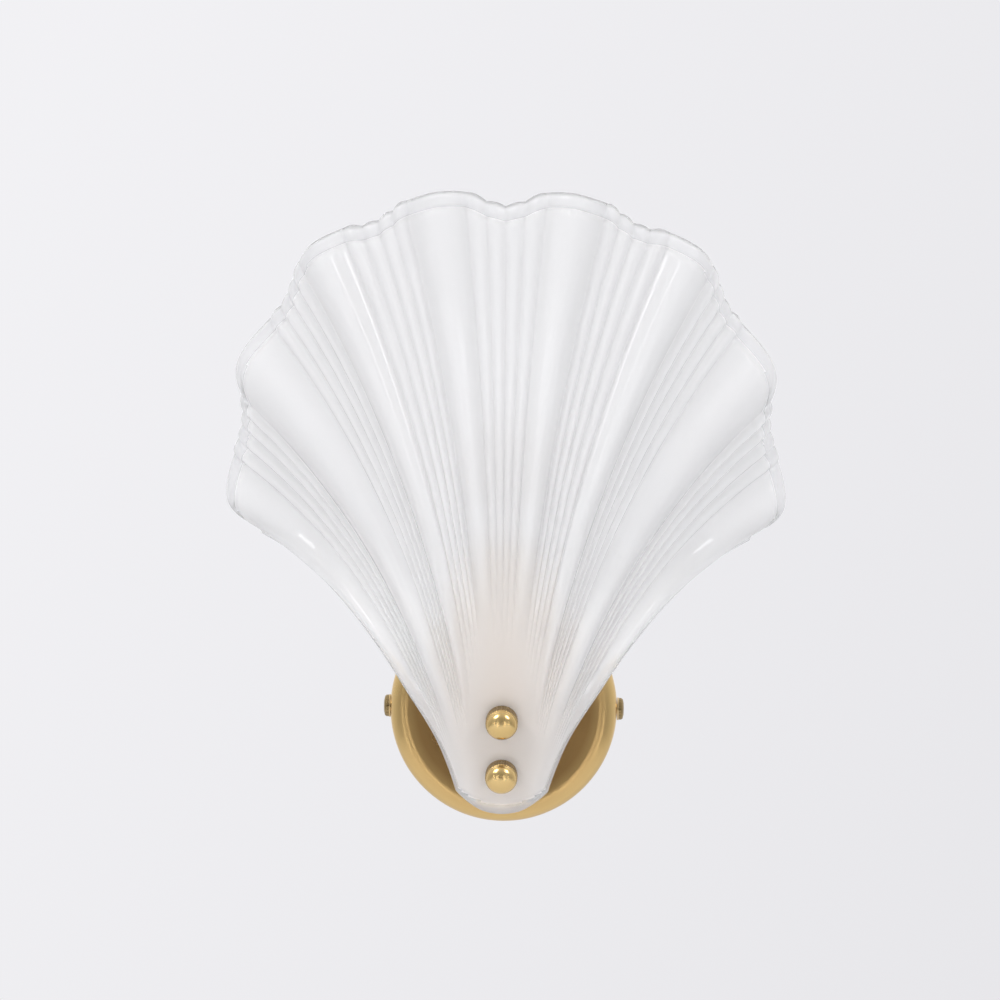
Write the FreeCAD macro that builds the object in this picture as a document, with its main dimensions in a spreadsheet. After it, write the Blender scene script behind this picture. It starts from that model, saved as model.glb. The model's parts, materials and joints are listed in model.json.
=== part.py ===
import FreeCAD, Part
import math
import os
import Sketcher

# Shell wall sconce. World frame: the wall is the plane Y = 0, -Y points into the room, +Z is up,
# and the origin is the centre of the canopy on the wall. Millimetres throughout.

DRIVING_SIZES = (
    # canopy
    ("canopy_radius", 50.0),
    ("canopy_depth", 25.0),
    ("canopy_wall", 1.2),
    ("canopy_edge", 8.0),
    # wall bracket
    ("strip_width", 18.0),
    ("strip_gauge", 1.5),
    ("ear_outer", 47.0),
    ("ear_reach", 19.0),
    ("slot_spacing", 60.0),
    ("slot_length", 12.0),
    ("slot_width", 4.5),
    # side screws and the machine screws of the same thread
    ("side_screw_depth", 12.5),
    ("screw_radius", 2.0),
    ("running_gap", 0.06),
    ("seat_gap", 0.1),
    ("clear_hole", 2.4),
    ("cap_radius", 4.8),
    ("cap_height", 2.2),
    ("cap_washer_radius", 5.0),
    ("cap_washer_gauge", 0.7),
    ("side_screw_length", 7.0),
    # glass: neck, fan and rim
    ("lean_angle", 18.0),
    ("seat_height", -3.0),
    ("neck_depth", 57.0),
    ("stud_spacing", 25.0),
    ("glass_gauge", 5.0),
    ("glass_hole", 4.0),
    ("tongue_half", 20.8),
    ("tongue_foot", -45.7),
    ("tongue_rise", 8.5),
    ("rim_centre", 109.0),
    ("rim_radius", 117.0),
    ("rim_dip", 12.0),
    ("fan_angle", 108.0),
    ("lobe_scallop", 5.5),
    ("reed_scallop", 1.0),
    ("lobe_height", 6.5),
    ("reed_height", 1.7),
    ("neck_sag", 14.0),
    ("fan_sag", 58.0),
    ("fan_start", 8.0),
    ("fan_rise", 72.0),
    ("flare_start", 150.0),
    ("flare_radius", 625.0),
    ("lip_width", 5.5),
    ("lip_drop", 2.2),
    # shade bracket and its fixings
    ("tab_width", 20.0),
    ("tab_gauge", 2.0),
    ("tab_above", 13.0),
    ("tab_below", 35.0),
    ("foot_top", -4.0),
    ("foot_bottom", -36.0),
    ("rear_washer_gauge", 1.5),
    ("front_washer_gauge", 1.0),
    ("washer_radius", 5.5),
    ("stud_reach", 7.6),
    ("nut_radius", 7.0),
    ("nut_band", 6.0),
    ("nut_dome", 4.0),
    ("nut_bore_depth", 7.5),
    ("foot_screw_high", -11.0),
    ("foot_screw_low", -25.0),
    # lamp arm and lampholder
    ("tube_radius", 5.0),
    ("tube_bore", 3.6),
    ("tube_height", 24.0),
    ("tube_start", 16.0),
    ("tube_reach", 45.0),
    ("tube_bend", 12.0),
    ("tube_top", 45.0),
    ("collar_radius", 8.0),
    ("collar_gauge", 3.5),
    ("holder_base", 40.0),
    ("cup_radius", 15.0),
    ("cup_wall", 0.8),
    ("cup_height", 32.0),
    ("shell_bore", 7.25),
    ("shell_gauge", 0.5),
    ("shell_hole", 5.4),
    ("shell_proud", 1.5),
    ("holder_well", 6.2),
    ("holder_floor", 7.5),
    ("holder_seat", 12.0),
    ("holder_slack", 0.3),
    ("holder_rim", 4.2),
    ("holder_chamfer", 1.2),
    ("holder_nut_radius", 9.0),
    ("holder_nut_gauge", 3.2),
    ("holder_lock_across", 13.0),
    ("holder_lock_gauge", 2.8),
    ("contact_width", 3.0),
    ("contact_root", 5.9),
    ("contact_bed", 8.0),
    ("lug_reach", 5.8),
    ("lug_start", 0.6),
    ("lug_height", 9.0),
    ("lamp_tip", 51.6),
    ("lamp_ball_radius", 22.5),
    ("lamp_neck", 10.9),
    ("lamp_cap_radius", 7.0),
    ("lamp_cap_length", 23.5),
    ("lamp_neck_round", 6.0),
    # wiring
    ("block_length", 25.0),
    ("block_width", 16.0),
    ("block_height", 12.0),
    ("pole_pitch", 8.0),
    ("earth_across", 19.0),
    ("lead_radius", 1.0),
)

# Each broad lobe of the right half: its centre and its width, in degrees about the rim's centre.
LOBES = ((15.5, 13.0), (41.5, 10.0), (68.0, 17.0), (97.0, 14.0))
REEDS_PER_GROUP = 4

# A rib's line is a curve with two control points. The outermost rib leaves the tongue at RIB_LEAVE
# degrees, its end turns by RIB_ARRIVE of the end's own angle, less RIB_ARRIVE_LOSS at the sides, and
# the points stand off by the two pulls, as shares of the rib's length.
RIB_LEAVE = 17.0
RIB_ARRIVE = 1.33
RIB_ARRIVE_LOSS = 0.25
RIB_START_PULL = 0.30
RIB_END_PULL = 0.355

# The ribs fade in from FADE_START along their length, FADE_SOONER earlier at the sides, over
# FADE_LENGTH, and their height grows from RIB_LOW_SHARE of the full height to all of it.
FADE_START = 0.27
FADE_SOONER = 0.15
FADE_LENGTH = 0.24
RIB_LOW_SHARE = 0.35

# The dip in the rim between the two middle lobes dies away over this angle, in degrees.
RIM_DIP_SPREAD = 20.0

# A knurl's depth, as a share of the radius that it is cut in.
KNURL_SHARE = 0.045


class Size:
    """A number from the sheet together with the expression that gives it."""

    def __init__(self, value, text):
        self.value = float(value)
        self.text = text

    def combine(self, other, symbol, value):
        return Size(value, "(%s %s %s)" % (self.text, symbol, other.text))

    def __add__(self, other):
        other = as_size(other)
        return self.combine(other, "+", self.value + other.value)

    def __sub__(self, other):
        other = as_size(other)
        return self.combine(other, "-", self.value - other.value)

    def __mul__(self, other):
        other = as_size(other)
        return self.combine(other, "*", self.value * other.value)

    def __truediv__(self, other):
        other = as_size(other)
        return self.combine(other, "/", self.value / other.value)

    def __radd__(self, other):
        return as_size(other) + self

    def __rsub__(self, other):
        return as_size(other) - self

    def __rmul__(self, other):
        return as_size(other) * self

    def __neg__(self):
        return as_size(0) - self


def as_size(number):
    if isinstance(number, Size):
        return number
    return Size(number, "(%r)" % float(number))


def sine(angle):
    return Size(math.sin(math.radians(angle.value)), "sin(%s)" % angle.text)


def cosine(angle):
    return Size(math.cos(math.radians(angle.value)), "cos(%s)" % angle.text)


doc = FreeCAD.newDocument("ShellSconce")
sheet = doc.addObject("Spreadsheet::Sheet", "Sizes")
SIZE = {}
for row, (alias, number) in enumerate(DRIVING_SIZES, start=1):
    sheet.set("A%d" % row, alias)
    sheet.set("B%d" % row, str(number))
    sheet.setAlias("B%d" % row, alias)
    SIZE[alias] = Size(number, "Sizes.%s" % alias)
doc.recompute()

sub_parts = []


def size(alias):
    return SIZE[alias]


def mm(alias):
    """The sheet's number itself, for the shapes that are worked out in code."""
    return float(getattr(sheet, alias))


# ---------------------------------------------------------------- placements

def facing_room(x=0.0, height=0.0, depth=0.0):
    """Local x across, local y up, local z into the room."""
    return FreeCAD.Placement(FreeCAD.Vector(x, -depth, height),
                             FreeCAD.Rotation(FreeCAD.Vector(1, 0, 0), 90))


def upright(depth, height):
    """Local z up, on the axis of the lamp."""
    return FreeCAD.Placement(FreeCAD.Vector(0, -depth, height), FreeCAD.Rotation())


def on_glass(along):
    """Local z square to the leaning neck, local origin on the glass front, along mm above the upper stud."""
    lean = math.radians(mm("lean_angle"))
    base = FreeCAD.Vector(0, -mm("neck_depth") - along * math.sin(lean),
                          mm("seat_height") + along * math.cos(lean))
    return FreeCAD.Placement(base, FreeCAD.Rotation(FreeCAD.Vector(1, 0, 0), 90 + mm("lean_angle")))


def on_side(side, distance):
    """Local z pointing out along X on one side (-1 left, +1 right), on the side screws' axis."""
    turn = FreeCAD.Rotation(FreeCAD.Vector(0, 1, 0), 90 * side)
    return FreeCAD.Placement(FreeCAD.Vector(side * distance, -mm("side_screw_depth"), 0), turn)


# ---------------------------------------------------------------- feature helpers

def keep(item, placement=None):
    """Register a finished sub-part and put it in its place."""
    if placement is not None:
        item.Placement = placement
    sub_parts.append(item)
    return item


def new_body(name):
    body = doc.addObject("PartDesign::Body", name)
    body.Label = name
    return body


def origin_plane(body, role):
    return next(item for item in body.Origin.OriginFeatures if item.Role == role)


def new_sketch(body, name, role="XY_Plane", offset=None):
    sketch = body.newObject("Sketcher::SketchObject", name)
    sketch.AttachmentSupport = (origin_plane(body, role), [""])
    sketch.MapMode = "FlatFace"
    if offset is not None:
        sketch.setExpression("AttachmentOffset.Base.z", offset.text)
    return sketch


def pin_coordinate(sketch, kind, axis, geometry, vertex, coordinate):
    """Tie one coordinate of a sketch vertex to the sheet, or to the axis where it is nought."""
    if abs(coordinate.value) < 1e-9:
        sketch.addConstraint(Sketcher.Constraint("PointOnObject", geometry, vertex, axis))
        return
    index = sketch.addConstraint(
        Sketcher.Constraint(kind, -1, 1, geometry, vertex, coordinate.value))
    sketch.setExpression("Constraints[%d]" % index, coordinate.text)


def pin_vertex(sketch, geometry, vertex, x, y):
    pin_coordinate(sketch, "DistanceX", -2, geometry, vertex, as_size(x))
    pin_coordinate(sketch, "DistanceY", -1, geometry, vertex, as_size(y))


def point(x, y):
    return FreeCAD.Vector(as_size(x).value, as_size(y).value, 0)


def add_outline(sketch, corners):
    """A closed outline of straight lines through corners, each corner tied to the sheet."""
    first = sketch.GeometryCount
    count = len(corners)
    for index, corner in enumerate(corners):
        following = corners[(index + 1) % count]
        sketch.addGeometry(Part.LineSegment(point(*corner), point(*following)), False)
    for index in range(count):
        after = first + (index + 1) % count
        sketch.addConstraint(Sketcher.Constraint("Coincident", first + index, 2, after, 1))
    for index, corner in enumerate(corners):
        pin_vertex(sketch, first + index, 1, *corner)


def add_circle(sketch, x, y, radius):
    radius = as_size(radius)
    circle = Part.Circle(point(x, y), FreeCAD.Vector(0, 0, 1), radius.value)
    geometry = sketch.addGeometry(circle, False)
    index = sketch.addConstraint(Sketcher.Constraint("Radius", geometry, radius.value))
    sketch.setExpression("Constraints[%d]" % index, radius.text)
    pin_vertex(sketch, geometry, 3, x, y)


def box_corners(x_low, y_low, x_high, y_high):
    return ((x_low, y_low), (x_high, y_low), (x_high, y_high), (x_low, y_high))


def pad(body, sketch, length, midplane=False):
    feature = body.newObject("PartDesign::Pad", body.Name + "_pad")
    feature.Profile = sketch
    feature.Midplane = midplane
    feature.setExpression("Length", as_size(length).text)
    body.Tip = feature
    return feature


def cut_through(body, sketch):
    """Cut the sketch through everything, on both sides of its plane."""
    feature = body.newObject("PartDesign::Pocket", body.Name + "_pocket")
    feature.Profile = sketch
    feature.Type = 1
    feature.Midplane = True
    body.Tip = feature
    return feature


def cut_up(body, sketch, length):
    """Cut the sketch along +z from its plane."""
    feature = body.newObject("PartDesign::Pocket", body.Name + "_pocket")
    feature.Profile = sketch
    feature.Reversed = True
    feature.setExpression("Length", as_size(length).text)
    body.Tip = feature
    return feature


def revolve(body, corners, name="profile"):
    """Turn an outline of (radius, height) corners about local z."""
    sketch = new_sketch(body, body.Name + "_" + name, "XZ_Plane")
    add_outline(sketch, corners)
    feature = body.newObject("PartDesign::Revolution", body.Name + "_revolution")
    feature.Profile = sketch
    feature.ReferenceAxis = (sketch, ["V_Axis"])
    feature.Angle = 360
    body.Tip = feature
    return feature


def round_edges(body, radius, chosen):
    """Round the edges of the body's tip that chosen(edge) picks."""
    doc.recompute()
    tip = body.Tip
    names = ["Edge%d" % number for number, edge in enumerate(tip.Shape.Edges, start=1) if chosen(edge)]
    feature = body.newObject("PartDesign::Fillet", body.Name + "_fillet")
    feature.Base = (tip, names)
    feature.setExpression("Radius", as_size(radius).text)
    body.Tip = feature
    return feature


def repeat_round(body, feature, count):
    pattern = body.newObject("PartDesign::PolarPattern", body.Name + "_round")
    pattern.Originals = [feature]
    pattern.Axis = (feature.Profile[0], ["N_Axis"])
    pattern.Angle = 360
    pattern.Occurrences = count
    body.Tip = pattern
    return pattern


def is_ring(edge, radius, height):
    """A full circle of the given radius about local z at the given height."""
    if edge.Degenerated:
        return False
    curve = edge.Curve
    return (isinstance(curve, Part.Circle) and abs(curve.Radius - radius) < 1e-3
            and abs(curve.Center.z - height) < 1e-3 and abs(curve.Axis.z) > 0.999)


def turned(name, corners, placement):
    body = new_body(name)
    revolve(body, corners)
    return keep(body, placement)


def ring_corners(inner, outer, low, high):
    return ((inner, low), (outer, low), (outer, high), (inner, high))


def hexagon_nut(name, across, bore, height):
    """A hexagon nut that stands on z = 0, with its bore."""
    body = new_body(name)
    sketch = new_sketch(body, name + "_outline")
    flat = as_size(across) * 0.5
    corner = flat * (2 / math.sqrt(3))
    corners = ((corner, 0), (corner * 0.5, flat), (corner * -0.5, flat),
               (-corner, 0), (corner * -0.5, -flat), (corner * 0.5, -flat))
    add_outline(sketch, corners)
    add_circle(sketch, 0, 0, bore)
    pad(body, sketch, height)
    return body


def group(name, members):
    """Several like pieces that share one node."""
    compound = doc.addObject("Part::Compound", name)
    compound.Label = name
    compound.Links = members
    return keep(compound)


# ---------------------------------------------------------------- glass shade

def smooth(value):
    value = min(1.0, max(0.0, value))
    return value * value * (3.0 - 2.0 * value)


def ribs_across(angle):
    """Height of the broad lobes and of the small reeds at an angle of the fan, both from 0 to 1."""
    angle = abs(angle)
    group_start = -(LOBES[0][0] - LOBES[0][1] / 2)
    for centre, width in LOBES:
        if angle < centre - width / 2:
            step = (angle - group_start) / (centre - width / 2 - group_start) * REEDS_PER_GROUP
            return 0.0, math.sin(math.pi * (step % 1.0))
        if angle <= centre + width / 2:
            return math.cos(math.pi * (angle - centre) / width), 0.0
        group_start = centre + width / 2
    return 0.0, 0.0


def rim_point(angle):
    """The rim in the front view, as (x, z), scalloped by the lobes and the reeds."""
    lobe, reed = ribs_across(angle)
    radius = mm("rim_radius") - mm("rim_dip") * math.exp(-(angle / RIM_DIP_SPREAD) ** 2)
    radius += mm("lobe_scallop") * lobe + mm("reed_scallop") * reed
    turn = math.radians(angle)
    return radius * math.sin(turn), mm("rim_centre") + radius * math.cos(turn)


def rib_line(angle, along):
    """A rib's line in the front view, from the tongue (along 0) to the rim (along 1)."""
    side = angle / mm("fan_angle")
    start = (mm("tongue_half") * side, mm("tongue_foot") + mm("tongue_rise") * side * side)
    end = rim_point(angle)
    length = math.dist(start, end)
    leave = math.radians(RIB_LEAVE * side)
    arrive = math.atan2(end[0], end[1] - mm("fan_start")) * (RIB_ARRIVE - RIB_ARRIVE_LOSS * abs(side))
    near, far = RIB_START_PULL * length, RIB_END_PULL * length
    first = (start[0] + near * math.sin(leave), start[1] + near * math.cos(leave))
    second = (end[0] - far * math.sin(arrive), end[1] - far * math.cos(arrive))
    rest = 1.0 - along
    weights = (rest ** 3, 3 * rest ** 2 * along, 3 * rest * along ** 2, along ** 3)
    corners = (start, first, second, end)
    return tuple(sum(weight * corner[axis] for weight, corner in zip(weights, corners))
                 for axis in (0, 1))


def smooth_point(angle, along):
    """The shade's base surface: it leans out, flares at the rim and wraps back at its sides."""
    x, z = rib_line(angle, along)
    side = abs(angle) / mm("fan_angle")
    opening = smooth((z - mm("fan_start")) / mm("fan_rise"))
    neck = max(0.0, (side - 0.3) / 0.7) ** 3
    fan = 1.2 * side ** 2 - 0.2 * side ** 4
    wrap = (1.0 - opening) * neck * mm("neck_sag")
    wrap += opening * fan * mm("fan_sag")
    lean = math.tan(math.radians(mm("lean_angle")))
    depth = mm("neck_depth") + (z - mm("seat_height")) * lean - wrap
    depth += max(0.0, z - mm("flare_start")) ** 2 / mm("flare_radius")
    return FreeCAD.Vector(x, -depth, z)


def rib_strength(angle, along):
    """The ribs fade out towards the flat panel that the nuts sit on."""
    side = abs(angle) / mm("fan_angle")
    start = FADE_START - FADE_SOONER * min(1.0, max(0.0, side - 0.2) / 0.25)
    return smooth((along - start) / FADE_LENGTH) * (RIB_LOW_SHARE + (1.0 - RIB_LOW_SHARE) * along)


def slopes(angle, along):
    """Across and upward derivatives of the base surface."""
    low = max(-mm("fan_angle"), angle - 0.25)
    high = min(mm("fan_angle"), angle + 0.25)
    back = max(0.0, along - 0.002)
    ahead = min(1.0, along + 0.002)
    across = (smooth_point(high, along) - smooth_point(low, along)) * (1.0 / (high - low))
    upward = (smooth_point(angle, ahead) - smooth_point(angle, back)) * (1.0 / (ahead - back))
    return across, upward


def surface_frame(angle, along):
    """Point, outward normal and the distance to the shade's nearest edge."""
    across, upward = slopes(angle, along)
    normal = across.cross(upward)
    normal.normalize()
    if normal.y > 0:
        normal = normal * -1.0
    slant = abs(math.sin(across.getAngle(upward)))
    edge = min((mm("fan_angle") - abs(angle)) * across.Length * slant,
               along * upward.Length, (1.0 - along) * upward.Length)
    return smooth_point(angle, along), normal, edge


def front_point(angle, along):
    base, normal, edge = surface_frame(angle, along)
    lobe, reed = ribs_across(angle)
    inside = min(1.0, edge / mm("lip_width"))
    lip = mm("lip_drop") * (1.0 - math.sqrt(1.0 - (1.0 - inside) ** 2))
    rise = mm("lobe_height") * lobe + mm("reed_height") * reed * (0.4 + 0.6 * inside)
    return base + normal * (rise * rib_strength(angle, along) - lip)


def back_point(angle, along):
    base, normal, edge = surface_frame(angle, along)
    lobe, reed = ribs_across(angle)
    rise = rib_strength(angle, along) * mm("lobe_height") * lobe
    return base + normal * (rise - mm("glass_gauge"))


def spread(low, high, count):
    return [low + (high - low) * index / count for index in range(1, count + 1)]


def fan_angles(per_lobe, per_group, per_flank):
    """The angles of the rib lines that carry the surface, tied to the edges of the lobes and reeds."""
    half = [0.0]
    half += spread(0.0, LOBES[0][0] - LOBES[0][1] / 2, per_group // 2)
    for index, (centre, width) in enumerate(LOBES):
        half += spread(centre - width / 2, centre + width / 2, per_lobe)
        if index + 1 < len(LOBES):
            following = LOBES[index + 1][0] - LOBES[index + 1][1] / 2
            half += spread(centre + width / 2, following, per_group)
    half += spread(LOBES[-1][0] + LOBES[-1][1] / 2, mm("fan_angle"), per_flank)
    return [-angle for angle in reversed(half[1:])] + half


def rib_curve(surface_point, angle, stations):
    """A smooth curve along one rib line, with the surface's own points and slopes at the stations."""
    step = 0.001
    points = [surface_point(angle, along) for along in stations]
    tangents = []
    for along in stations:
        back, ahead = max(stations[0], along - step), min(stations[-1], along + step)
        rise = surface_point(angle, ahead) - surface_point(angle, back)
        tangents.append(rise * (1.0 / (ahead - back)))
    poles = [points[0]]
    for index in range(1, len(stations)):
        third = (stations[index] - stations[index - 1]) / 3
        poles.append(points[index - 1] + tangents[index - 1] * third)
        poles.append(points[index] - tangents[index] * third)
    poles.append(points[-1])
    curve = Part.BSplineCurve()
    inner = len(stations) - 2
    curve.buildFromPolesMultsKnots(poles, [4] + [2] * inner + [4], list(stations), False, 3)
    return curve.toShape()


def front_section(angle):
    """One rib line of the front: the lip at the tongue, the long curve and the lip at the rim."""
    low = mm("lip_width") / slopes(angle, 0.0)[1].Length
    high = 1.0 - mm("lip_width") / slopes(angle, 1.0)[1].Length
    curve = rib_curve(front_point, angle, (low, 0.26, high))
    foot = Part.makeLine(front_point(angle, 0.0), front_point(angle, low))
    head = Part.makeLine(front_point(angle, high), front_point(angle, 1.0))
    return Part.Wire([foot, curve, head])


def back_section(angle):
    return Part.Wire([rib_curve(back_point, angle, (0.0, 0.26, 1.0))])


def zip_edges(first, second):
    """Narrow triangles that close the gap between two rows of (position, point)."""
    faces = []
    one, two = 0, 0
    while one + 1 < len(first) or two + 1 < len(second):
        step_one = two + 1 == len(second) or (
            one + 1 < len(first) and first[one + 1][0] <= second[two + 1][0])
        third = first[one + 1][1] if step_one else second[two + 1][1]
        faces.append(Part.Face(Part.makePolygon([first[one][1], second[two][1], third, first[one][1]])))
        one, two = (one + 1, two) if step_one else (one, two + 1)
    return faces


def side_faces(angle):
    """The narrow faces along one side edge of the shade."""
    front = front_section(angle).Edges
    back = back_section(angle).Edges
    stations = (front[1].Curve.FirstParameter, front[1].Curve.LastParameter)
    curve = back[0].Curve
    lower = curve.toShape(0.0, stations[0])
    middle = curve.toShape(stations[0], stations[1])
    upper = curve.toShape(stations[1], 1.0)
    return [Part.makeRuledSurface(first, second)
            for first, second in ((front[0], lower), (front[1], middle), (front[2], upper))]


def glass_blank():
    """The fluted front, the plainer back and the narrow edges between them, closed to one solid."""
    front_angles = fan_angles(4, 2 * REEDS_PER_GROUP, 2)
    back_angles = fan_angles(3, 2, 1)
    front = Part.makeLoft([front_section(angle) for angle in front_angles], False, True)
    back = Part.makeLoft([back_section(angle) for angle in back_angles], False, True)
    faces = front.Faces + back.Faces
    for along in (0.0, 1.0):
        faces += zip_edges([(angle, front_point(angle, along)) for angle in front_angles],
                           [(angle, back_point(angle, along)) for angle in back_angles])
    for side in (-1, 1):
        faces += side_faces(side * mm("fan_angle"))
    shell = Part.Shell(faces)
    shell.sewShape()
    solid = Part.Solid(Part.Shell(shell.Faces))
    if solid.Volume < 0:
        solid.reverse()
    return solid


def make_glass_shade():
    blank = doc.addObject("Part::Feature", "glass_blank")
    blank.Shape = glass_blank()
    holes = []
    for index, along in enumerate((0.0, -mm("stud_spacing"))):
        hole = doc.addObject("Part::Cylinder", "glass_hole_%d" % (index + 1))
        hole.setExpression("Radius", size("glass_hole").text)
        hole.setExpression("Height", (size("glass_gauge") * 4).text)
        place = on_glass(along)
        place.Base = place.multVec(FreeCAD.Vector(0, 0, -2 * mm("glass_gauge")))
        hole.Placement = place
        holes.append(hole)
    first_cut = doc.addObject("Part::Cut", "glass_first_cut")
    first_cut.Base = blank
    first_cut.Tool = holes[0]
    shade = doc.addObject("Part::Cut", "glass_shade")
    shade.Label = "glass_shade"
    shade.Base = first_cut
    shade.Tool = holes[1]
    keep(shade)


# ---------------------------------------------------------------- canopy and wall bracket

def make_canopy():
    radius, depth, wall = size("canopy_radius"), size("canopy_depth"), size("canopy_wall")
    body = new_body("canopy")
    revolve(body, ((0, depth), (radius, depth), (radius, 0), (radius - wall, 0),
                   (radius - wall, depth - wall), (0, depth - wall)))
    round_edges(body, size("canopy_edge"),
                lambda edge: is_ring(edge, radius.value, depth.value))
    round_edges(body, size("canopy_edge") - wall,
                lambda edge: is_ring(edge, (radius - wall).value, (depth - wall).value))
    front = new_sketch(body, "canopy_front_holes")
    add_circle(front, 0, size("tube_height"), size("tube_radius") + 0.1)
    add_circle(front, 0, size("foot_screw_high"), size("screw_radius") + 0.1)
    add_circle(front, 0, size("foot_screw_low"), size("screw_radius") + 0.1)
    cut_through(body, front)
    sides = new_sketch(body, "canopy_side_holes", "YZ_Plane")
    add_circle(sides, 0, size("side_screw_depth"), size("clear_hole"))
    cut_through(body, sides)
    keep(body, facing_room())


def make_wall_bracket():
    gauge, outer, width = size("strip_gauge"), size("ear_outer"), size("strip_width")
    reach = size("ear_reach")
    body = new_body("wall_bracket")
    strip = new_sketch(body, "wall_bracket_bend", "XZ_Plane")
    add_outline(strip, ((-outer, 0), (outer, 0), (outer, reach), (outer - gauge, reach),
                        (outer - gauge, gauge), (gauge - outer, gauge), (gauge - outer, reach),
                        (-outer, reach)))
    pad(body, strip, width, midplane=True)
    round_edges(body, gauge * 0.6,
                lambda edge: abs(edge.CenterOfMass.z - gauge.value) < 1e-3
                and abs(abs(edge.CenterOfMass.x) - (outer - gauge).value) < 1e-3)
    round_edges(body, gauge * 1.4,
                lambda edge: abs(edge.CenterOfMass.z) < 1e-3
                and abs(abs(edge.CenterOfMass.x) - outer.value) < 1e-3)
    slots = new_sketch(body, "wall_bracket_slots")
    for side in (-1, 1):
        add_slot(slots, size("slot_spacing") * (0.5 * side), size("slot_length"), size("slot_width"))
    add_circle(slots, size("earth_across"), 0, size("screw_radius") + 0.05)
    add_circle(slots, 0, 0, size("screw_radius") * 0.75 + 0.05)
    cut_through(body, slots)
    threads = new_sketch(body, "wall_bracket_threads", "YZ_Plane")
    add_circle(threads, 0, size("side_screw_depth"), size("screw_radius") + size("running_gap"))
    cut_through(body, threads)
    keep(body, facing_room())


def add_slot(sketch, x, length, width):
    """A slot along x, centred on (x, 0): two straight sides and two half rounds."""
    radius = width * 0.5
    reach = (length - width) * 0.5
    first = sketch.GeometryCount
    low, high = (x - reach).value, (x + reach).value
    up = FreeCAD.Vector(0, 0, 1)
    sketch.addGeometry(Part.LineSegment(point(low, -radius), point(high, -radius)), False)
    sketch.addGeometry(Part.ArcOfCircle(Part.Circle(point(high, 0), up, radius.value),
                                        -math.pi / 2, math.pi / 2), False)
    sketch.addGeometry(Part.LineSegment(point(high, radius), point(low, radius)), False)
    sketch.addGeometry(Part.ArcOfCircle(Part.Circle(point(low, 0), up, radius.value),
                                        math.pi / 2, math.pi * 1.5), False)
    for index in range(4):
        sketch.addConstraint(Sketcher.Constraint(
            "Coincident", first + index, 2, first + (index + 1) % 4, 1))
    pin_vertex(sketch, first, 1, x - reach, -radius)
    pin_vertex(sketch, first, 2, x + reach, -radius)
    pin_vertex(sketch, first + 2, 1, x + reach, radius)
    pin_vertex(sketch, first + 2, 2, x - reach, radius)
    for arc, centre in ((first + 1, x + reach), (first + 3, x - reach)):
        pin_coordinate(sketch, "DistanceX", -2, arc, 3, centre)


# ---------------------------------------------------------------- side screws

def make_side_screw(name, washer_name, side):
    shank, cap, height = size("screw_radius"), size("cap_radius"), size("cap_height")
    gauge, gap = size("cap_washer_gauge"), size("seat_gap")
    seat = mm("canopy_radius") + mm("seat_gap")
    washer = new_body(washer_name)
    revolve(washer, ring_corners(shank + size("running_gap"), size("cap_washer_radius"), 0, gauge))
    keep(washer, on_side(side, seat))
    under = gauge + gap
    screw = new_body(name)
    revolve(screw, ((0, -size("side_screw_length")), (shank, -size("side_screw_length")),
                    (shank, under), (cap, under), (cap, under + height * 0.45),
                    (cap * 0.9, under + height * 0.75), (cap * 0.55, under + height * 0.95),
                    (0, under + height)))
    notch_rim(screw, cap, under, under + height * 0.45, 20)
    keep(screw, on_side(side, seat))


def notch_rim(body, radius, low, high, count):
    """Straight knurling: a small notch at the rim of a band, repeated all round."""
    sketch = new_sketch(body, body.Name + "_notch", "XY_Plane", low)
    depth = radius * KNURL_SHARE
    beyond = radius * 1.05
    add_outline(sketch, ((radius - depth, 0), (beyond, -depth * 2), (beyond, depth * 2)))
    notch = cut_up(body, sketch, high - low)
    repeat_round(body, notch, count)


# ---------------------------------------------------------------- glass fixings

def make_thumb_nut(name, washer_name, along):
    """A knurled domed nut over a soft washer, both on the stud that leans with the glass."""
    stud, gap = size("screw_radius"), size("seat_gap")
    radius, band, dome = size("nut_radius"), size("nut_band"), size("nut_dome")
    washer = new_body(washer_name)
    revolve(washer, ring_corners(stud + size("running_gap"), size("washer_radius"),
                                 gap, gap + size("front_washer_gauge")))
    keep(washer, on_glass(along))
    base = gap * 2 + size("front_washer_gauge")
    bore = stud + size("running_gap")
    deep = base + size("nut_bore_depth")
    nut = new_body(name)
    revolve(nut, ((bore, base), (radius, base), (radius, base + band),
                  (radius * 0.93, base + band + dome * 0.42), (radius * 0.74, base + band + dome * 0.72),
                  (radius * 0.42, base + band + dome * 0.93), (0, base + band + dome),
                  (0, deep), (bore, deep)))
    notch_rim(nut, radius, base, base + band, 24)
    keep(nut, on_glass(along))


def pair_on_studs(name, corners):
    """Two like turned pieces, one on each stud."""
    members = []
    for index, along in enumerate((0.0, -mm("stud_spacing"))):
        body = new_body("%s_%d" % (name, index + 1))
        revolve(body, corners)
        body.Placement = on_glass(along)
        members.append(body)
    group(name, members)


def make_glass_fixings():
    stud, gauge = size("screw_radius"), size("glass_gauge")
    washer, tab = size("rear_washer_gauge"), size("tab_gauge")
    sleeve = size("glass_hole") - 0.05
    pair_on_studs("rear_washers", ring_corners(stud, size("washer_radius"), -gauge - washer, -gauge))
    pair_on_studs("hole_sleeves", ring_corners(stud, sleeve, -gauge, 0))
    low = -gauge - washer - tab
    pair_on_studs("shade_studs", ((0, low - 1.4), (stud * 1.8, low - 1.4), (stud * 1.8, low),
                                  (stud, low), (stud, size("stud_reach")), (0, size("stud_reach"))))


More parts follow.
